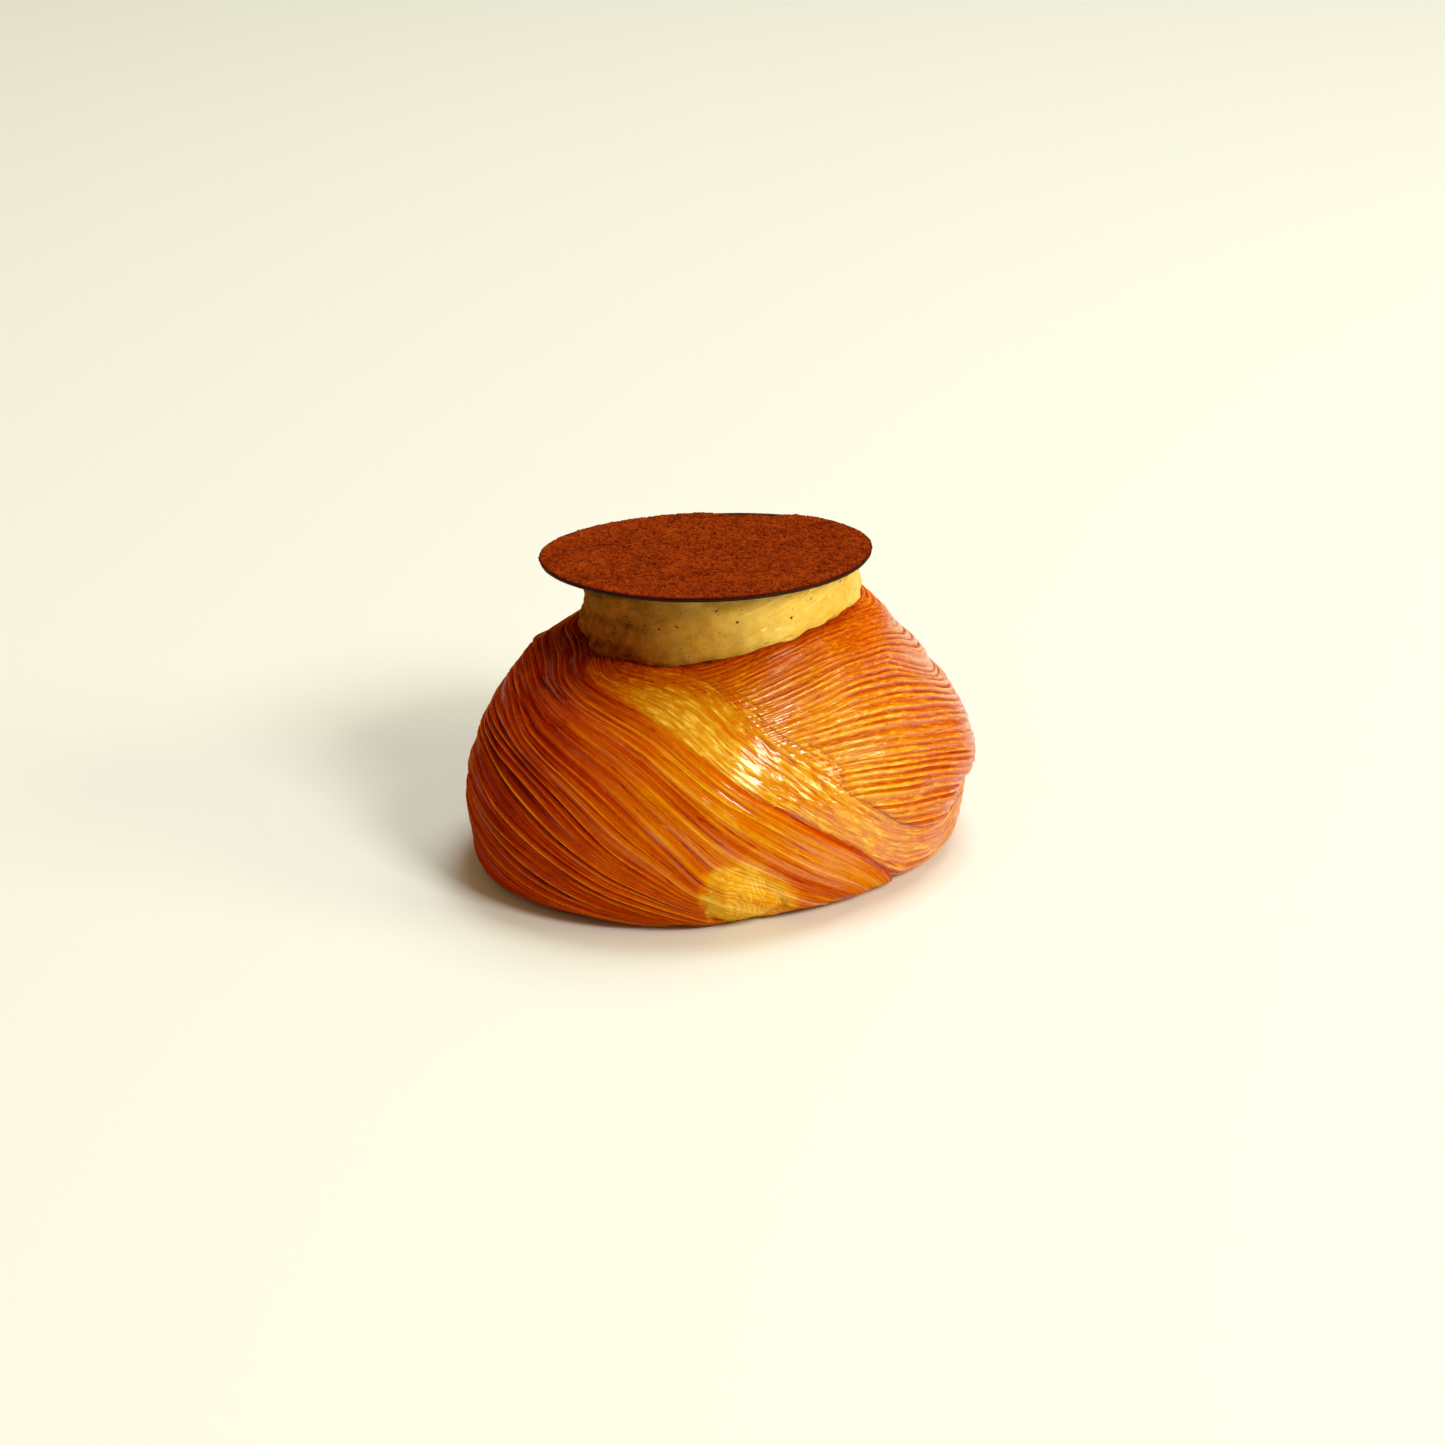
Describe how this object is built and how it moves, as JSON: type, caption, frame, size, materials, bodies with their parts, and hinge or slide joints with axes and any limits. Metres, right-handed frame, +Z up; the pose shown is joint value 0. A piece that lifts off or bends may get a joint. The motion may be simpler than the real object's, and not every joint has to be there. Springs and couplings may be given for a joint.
{
  "type": "danish pastry",
  "caption": "Knotted laminated pastry bun with a deep well of vanilla cream, topped by a thin round chocolate disc under a layer of cocoa powder.",
  "frame": {"origin": "on the surface the bun stands on, at the centre of its bounding box in plan", "axes": "+Z up through the filling, -Y towards the side where the tucked dough end shows, +X to the right as seen from there"},
  "size_m": [0.1002, 0.0978, 0.0626],
  "materials": {
    "baked_dough": "glazed, golden to deep caramel brown, with fine baked layers",
    "vanilla_cream": "moist custard yellow with fine vanilla specks",
    "dark_chocolate": "satin tempered chocolate",
    "cocoa_powder": "dry, fine grained and fully matt"
  },
  "bodies": {
    "root": {"laminated_bun": "baked_dough", "vanilla_cream": "vanilla_cream", "chocolate_disc": "dark_chocolate", "cocoa_dusting": "cocoa_powder"}
  },
  "joints": []
}
